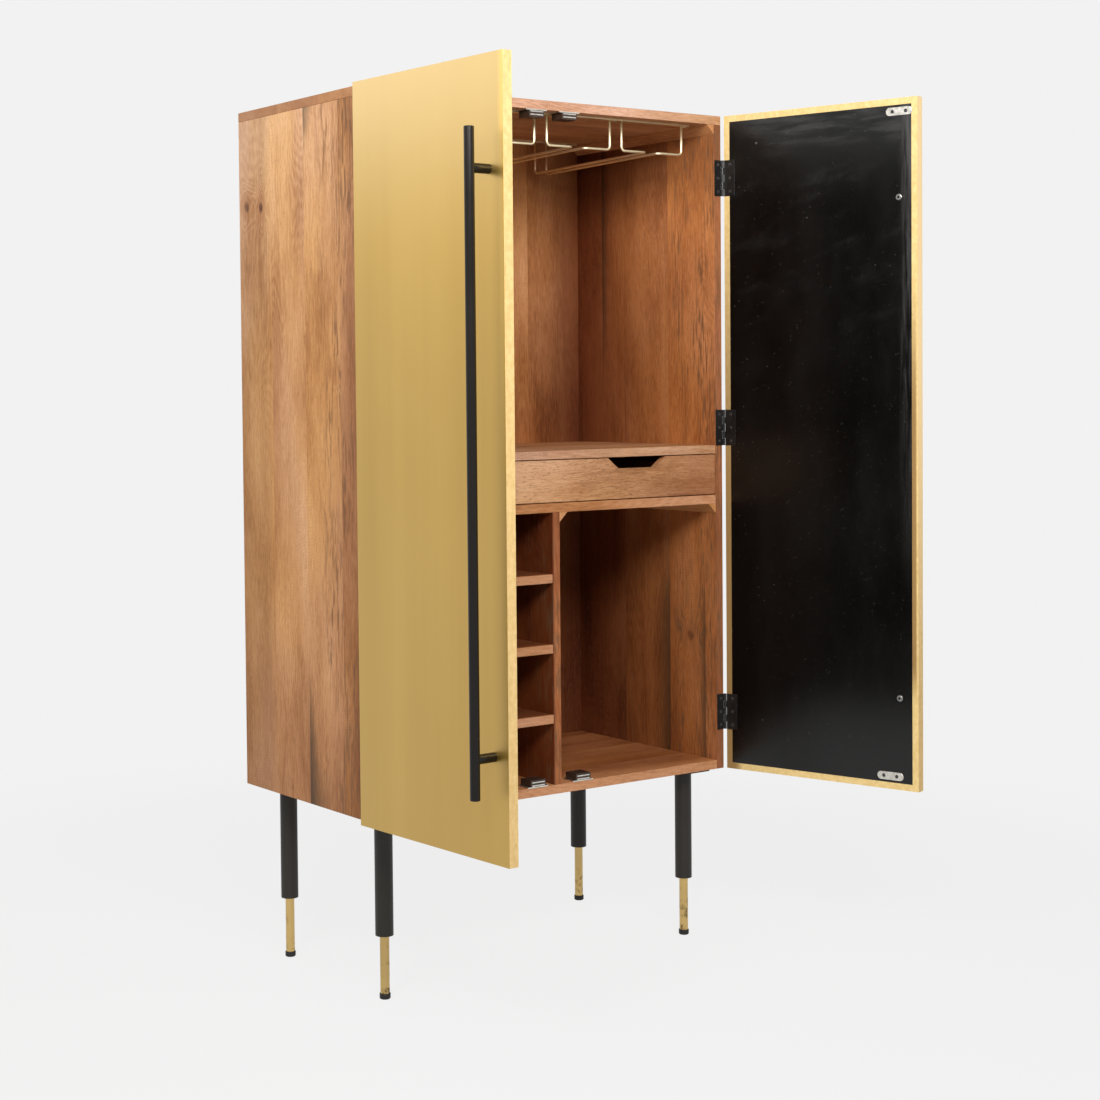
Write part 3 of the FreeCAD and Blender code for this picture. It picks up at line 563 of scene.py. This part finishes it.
for side, rubbed in (("left", 0.0), ("right", 1.0)):
    material, shader, place = finish(f"{side}_door_brass", Coat_Roughness=0.28, Coat_IOR=1.5)
    u, v, z = on_door(place, side)
    sheet = u.joined(v, z)
    folded = v.rise(face_out - 0.0002, face_out - 0.0008)
    lip = v.rise(lip_out + 0.0006, lip_out)
    brushed = sheet.noise((900, 900, 2.5), 3.0, 0.7)
    bands = sheet.noise((14, 14, 0.4), 3.0, 0.5)
    clouds = sheet.noise((3, 3, 1.6), 2.0)
    dents = sheet.noise((150, 150, 110), 3.0, 0.6)
    dented = dents.rise(0.25, 0.75)
    specks = sheet.noise((300, 300, 240), 2.0).rise(0.68, 0.75)

    tone = (bands * 0.7 + clouds * 0.6 + brushed * 0.35 - 0.33).rise(0.10, 0.90)
    plain = tone.blend(satin_deep, satin_light)
    # Towards its top the face is paler: a painted sheen.
    plain = (z.rise(1.25, 1.60) * 0.6).blend(plain, painted_top_sheen)
    # Beside the free edge, from about 0.85 m up, the face is paler: a painted sheen.
    painted_edge_sheen = u.rise(free_edge - 0.016, free_edge - 0.002) * z.rise(0.85, 1.25)
    plain = (painted_edge_sheen * 0.8).blend(plain, painted_free_sheen)

    bright = lip.blend(dented.blend(edge_deep, edge_light), dented.blend(lip_deep, lip_light))
    bright = (specks * 0.4).blend(bright, speck_brown)
    free_side = u.rise(free_edge - 0.024, free_edge - 0.016)
    bare = free_side * (1.0 - lip) * z.rise(0.40, 1.20) * rubbed
    bright = bare.blend(bright, bare_brass)
    # By the hinge the lip darkens downwards: painted shade between door and case. Near the handle it is
    # tarnished.
    hinge_shade = u.rise(0.040, 0.020) * z.rise(1.60, 0.75)
    by_hand = free_side * u.rise(free_edge - 0.001, free_edge - 0.006)
    by_hand = by_hand * z.rise(0.47, 0.56) * z.rise(1.30, 1.00)
    bright = (hinge_shade.most(by_hand) * lip * 0.9).blend(bright, tarnish_and_shade)

    wire(shader, Base_Color=folded.blend(plain, bright), Metallic=1.0 - folded * 0.25 - lip * 0.55,
         Roughness=0.35 + brushed * 0.10 + bands * 0.06 + folded * (dents * 0.25 + 0.18),
         Coat_Weight=1.0 - folded, Bump=(folded * dents * 8.0 + brushed * (1.0 - folded), 0.00002))
    dress(material, f"{side}_door_skin")
    ease(sheet_arris, f"{side}_door_skin")

    material, shader, place = finish(f"{side}_door_black", Specular_IOR_Level=0.38)
    u, v, z = on_door(place, side)
    board = u.joined(v, z)
    smears = board.noise((7, 7, 3.2), 4.0, 0.62)
    tone = smears.rise(0.35, 0.80).blend(stain_black, stain_worn)
    slanting = (u + z * 0.6).joined(v, z - u * 0.3).noise((5, 5, 16), 5.0, 0.65).rise(0.50, 0.80)
    # Pale smears towards the top: partly real smears, partly a painted sheen.
    tone = (slanting * z.rise(0.9, 1.5)).blend(tone, smear_and_sheen)
    # Pale wipes along the free edge and along the top by the hinge: partly real wipes, partly a painted
    # sheen.
    upright = board.noise((90, 90, 7), 4.0, 0.6).rise(0.36, 0.72)
    upright = upright * u.rise(free_edge - 0.040, free_edge - 0.018) * z.rise(0.62, 1.30)
    level = board.noise((9, 9, 60), 4.0, 0.6).rise(0.38, 0.74)
    level = level * u.rise(0.00, 0.10) * z.rise(1.48, 1.54)
    tone = upright.most(level * 0.5).blend(tone, wipe_and_sheen)
    specks = board.noise((300, 300, 300), 1.0).rise(0.765, 0.80)
    marks = specks
    if side == "right":
        off, rise = (u - hole_along) / hole_radius, (z - hole_level) / hole_radius
        marks = specks.most((off * off + rise * rise).rise(1.2, 0.6))
    tone = (marks * 0.5).blend(tone, dust_grey)
    wire(shader, Base_Color=tone, Roughness=0.13 + smears * 0.20 + specks * 0.2, Bump=(smears, 0.00004))
    dress(material, f"{side}_door_core")

# Handles: a round black bar welded to two posts, which are screwed through the door from inside.
# Bar and posts are lacquered. The screws are steel with a dark socket, on dark washers.
handle_black = lacquer("handle_lacquer", (0.0050, 0.0036, 0.0026), rough=0.13, pebbles=(400, 400, 60),
                       gloss=0.24, dust=1.3)
screw_along, screw_low, screw_high, socket_radius = 0.368, 0.4925, 1.3975, 0.0024
socket_dark, washer_dark = (0.02, 0.02, 0.02, 1), (0.03, 0.03, 0.03, 1)
screw_steel = (0.46, 0.45, 0.43, 1)
for side in ("left", "right"):
    dress(handle_black, f"{side}_handle")
    material, shader, place = finish(f"{side}_screw_steel", Metallic=1.0)
    u, _, z = on_door(place, side)
    off = (u - screw_along) / socket_radius
    rise = (z - screw_low).size().least((z - screw_high).size()) / socket_radius
    near = off * off + rise * rise
    wear = place.noise((500, 500, 500), 2.0)
    tone = near.rise(0.7, 1.3).blend(socket_dark, screw_steel)
    tone = near.rise(4.5, 6.5).blend(tone, washer_dark)
    wire(shader, Base_Color=tone, Roughness=0.24 + wear * 0.2)
    dress(material, f"{side}_handle_screws")

# Catches: brown moulded bodies on nickel brackets, with two pole plates each.
# They meet nickel strikes with rounded ends, which are screwed to the doors.
catch_brown = lacquer("catch_moulding", (0.028, 0.014, 0.008), rough=0.40, pebbles=(300, 300, 300),
                      gloss=0.5)
dark_steel = lacquer("dark_steel", (0.014, 0.013, 0.012), rough=0.16, pebbles=(900, 900, 900), gloss=0.7)
nickel, shader, place = finish("nickel_plate", Metallic=1.0)
nickel_dull, nickel_bright = (0.58, 0.55, 0.49, 1), (0.80, 0.77, 0.70, 1)
wear = place.noise((140, 140, 140), 3.0)
tone = wear.rise(0.30, 0.70).blend(nickel_dull, nickel_bright)
wire(shader, Base_Color=tone, Roughness=0.24 + wear * 0.2)
dress(catch_brown, "top_left_catch", "top_right_catch", "bottom_left_catch", "bottom_right_catch")
dress(nickel, "catch_poles")
catch_off = {"left": (0.037, 0.046), "right": (0.037, 0.057)}
strike_levels, strike_sheet, strike_arris = (1.551, 0.349), 0.0015, 0.0005
strike_pitch, strike_screw, door_inside = 0.026, 0.0034, 0.002
for side in ("left", "right"):
    dress(nickel, f"{side}_strikes")
    ease(strike_arris, f"{side}_strikes")
    hinge, along, out = door_lines(side)
    spots = []
    for off, level in zip(catch_off[side], strike_levels):
        middle = hinge + along * (abs(hinge[0]) - off) + out * (door_inside - strike_sheet) + up * level
        spots += [middle + along * step * strike_pitch / 2 for step in (-1, 1)]
    screws = heads(spots, -out, strike_screw, flush)
    piece(f"{side}_strike_screws", screws, dark_steel, f"{side}_door")


# Studio: a pale floor that fades into the pale surround, with only a hint of shade on it.
# Soft lamps stand to the left, in front, and behind on the left.
def looked_at(tree):
    """1 for rays from the camera, a reflection or glass, and 0 for rays that gather light."""
    outlets = tree.nodes.new("ShaderNodeLightPath").outputs
    kinds = ("Camera", "Glossy", "Transmission")
    camera_ray, glossy_ray, clear_ray = (Field(outlets[f"Is {kind} Ray"]) for kind in kinds)
    return camera_ray.most(glossy_ray).most(clear_ray)


backdrop, ambient, floor_half = (0.887, 0.887, 0.887, 1), (0.20, 0.20, 0.20, 1), 12.0
ground, _, place = finish("pale_floor")
tree = ground.node_tree
seen = looked_at(tree)
x, y, _ = place.axes()
far = (x * x + y * y).rise(0.8, 5.0)
glow = seen.add("Emission", {}, {"Color": backdrop, "Strength": 1.0})
dull = seen.add("BsdfDiffuse", {}, {"Color": backdrop})
mixed = seen.add("MixShader", {}, {0: seen * (0.94 + far * 0.06), 1: dull, 2: glow})
tree.links.new(mixed.socket, tree.nodes["Material Output"].inputs["Surface"])
mesh = bpy.data.meshes.new("floor")
floor_corners = [(i * floor_half, j * floor_half, 0) for i, j in ((-1, -1), (1, -1), (1, 1), (-1, 1))]
mesh.from_pydata(floor_corners, [], [(0, 1, 2, 3)])
mesh.materials.append(ground)
floor = bpy.data.objects.new("floor", mesh)
bpy.context.scene.collection.objects.link(floor)

world = bpy.data.worlds.new("studio")
bpy.context.scene.world = world
world.use_nodes = True
tree = world.node_tree
seen = looked_at(tree)
around = seen.add("Background", {}, {"Color": ambient, "Strength": 1.0})
shown = seen.add("Background", {}, {"Color": backdrop, "Strength": 1.0})
mixed = seen.add("MixShader", {}, {0: seen, 1: around, 2: shown})
tree.links.new(mixed.socket, tree.nodes["World Output"].inputs["Surface"])


def lamp(name, place, aim, width, height, power):
    """A soft rectangular lamp at one point, turned to face another."""
    data = bpy.data.lights.new(name, "AREA")
    data.shape = "RECTANGLE"
    data.size, data.size_y = width, height
    data.energy = power
    thing = bpy.data.objects.new(name, data)
    thing.location = place
    thing.rotation_euler = (Vector(aim) - Vector(place)).to_track_quat("-Z", "Y").to_euler()
    thing.visible_camera = False
    bpy.context.scene.collection.objects.link(thing)


lamp("side_lamp", (-1.75, -1.25, 2.1), (0, 0, 1.1), width=0.5, height=0.5, power=28)
lamp("front_lamp", (-1.0, -2.2, 2.15), (0, 0, 1.0), width=1.3, height=0.8, power=62)
lamp("back_panel_lamp", (-2.4, 2.7, 2.75), (-0.4, -0.3, 1.3), width=3.0, height=1.6, power=24)

# Camera: where the photograph was taken from, with its lens shifted as the picture was cropped.
# Picture width, focal length and the place of the lens's axis are in pixels of the photograph.
pixels, focal, axis_across, axis_down = 1100, 2016.96, 463.33, 455.68
eye = Vector((-2.21883, -3.10197, 1.06746))
yaw, pitch, roll = math.radians(-34.9358), math.radians(-2.0031), math.radians(0.5588)
turned = Matrix.Rotation(yaw, 4, "Z") @ Matrix.Rotation(pitch, 4, "X") @ Matrix.Rotation(roll, 4, "Y")
lens = bpy.data.cameras.new("camera")
lens.sensor_width = 36.0
lens.lens = focal / pixels * lens.sensor_width
lens.shift_x = 0.5 - axis_across / pixels
lens.shift_y = axis_down / pixels - 0.5
lens.clip_end = 60
camera = bpy.data.objects.new("camera", lens)
camera.matrix_world = Matrix.Translation(eye) @ turned @ Matrix.Rotation(math.radians(90), 4, "X")
bpy.context.scene.collection.objects.link(camera)
bpy.context.scene.camera = camera
bpy.context.scene.view_settings.view_transform = "Standard"
